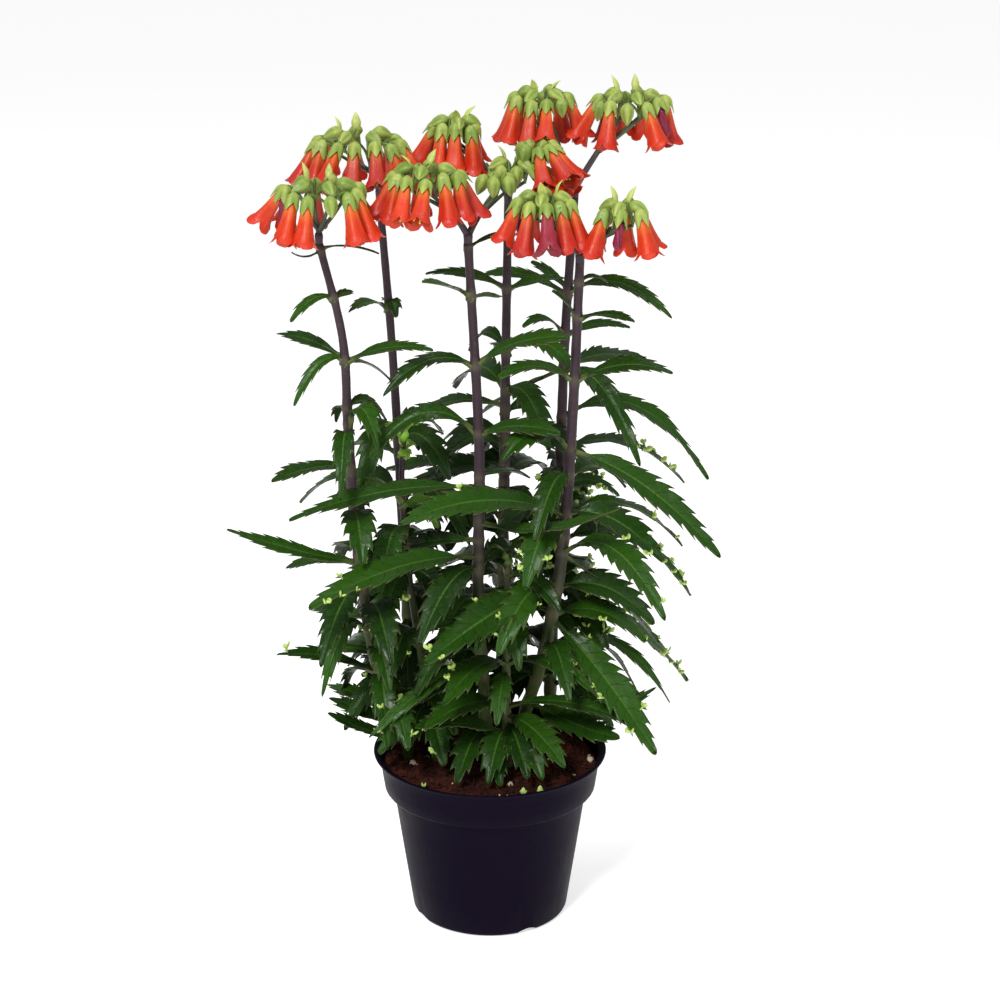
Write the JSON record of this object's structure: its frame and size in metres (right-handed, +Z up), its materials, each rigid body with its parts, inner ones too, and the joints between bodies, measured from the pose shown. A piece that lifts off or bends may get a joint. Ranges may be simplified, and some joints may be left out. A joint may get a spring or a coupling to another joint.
{
  "type": "potted kalanchoe",
  "caption": "Potted kalanchoe with toothed dark green leaves on tall stems and flat heads of hanging orange bell flowers, in a round nursery pot filled with soil.",
  "frame": {"origin": "middle of the pot's flat underside, where it stands on the floor", "axes": "+Z up through the middle of the pot; -Y toward the pictured side of the plant; +X to the right as seen from that side"},
  "size_m": [0.3428, 0.2642, 0.6047],
  "materials": {
    "pot": "satin black",
    "soil": "coarse peat",
    "leafy_stem_a": "waxy leaf",
    "leafy_stem_b": "waxy leaf",
    "leafy_stem_c": "waxy leaf",
    "leafy_stem_d": "waxy leaf",
    "leafy_stem_f": "waxy leaf",
    "leafy_stem_g": "waxy leaf",
    "leafy_stem_young_left": "waxy leaf",
    "leafy_stem_young_front": "waxy leaf",
    "flower_head_a": "satin petal",
    "flower_head_b": "satin petal",
    "flower_head_c": "satin petal",
    "flower_head_d": "satin petal",
    "flower_head_f": "satin petal",
    "flower_head_g": "satin petal"
  },
  "bodies": {
    "root": {"pot": "pot", "soil": "soil", "leafy_stem_a": "leafy_stem_a", "flower_head_a": "flower_head_a", "leafy_stem_b": "leafy_stem_b", "flower_head_b": "flower_head_b", "leafy_stem_c": "leafy_stem_c", "flower_head_c": "flower_head_c", "leafy_stem_d": "leafy_stem_d", "flower_head_d": "flower_head_d", "leafy_stem_f": "leafy_stem_f", "flower_head_f": "flower_head_f", "leafy_stem_g": "leafy_stem_g", "flower_head_g": "flower_head_g", "leafy_stem_young_left": "leafy_stem_young_left", "leafy_stem_young_front": "leafy_stem_young_front"}
  },
  "joints": []
}
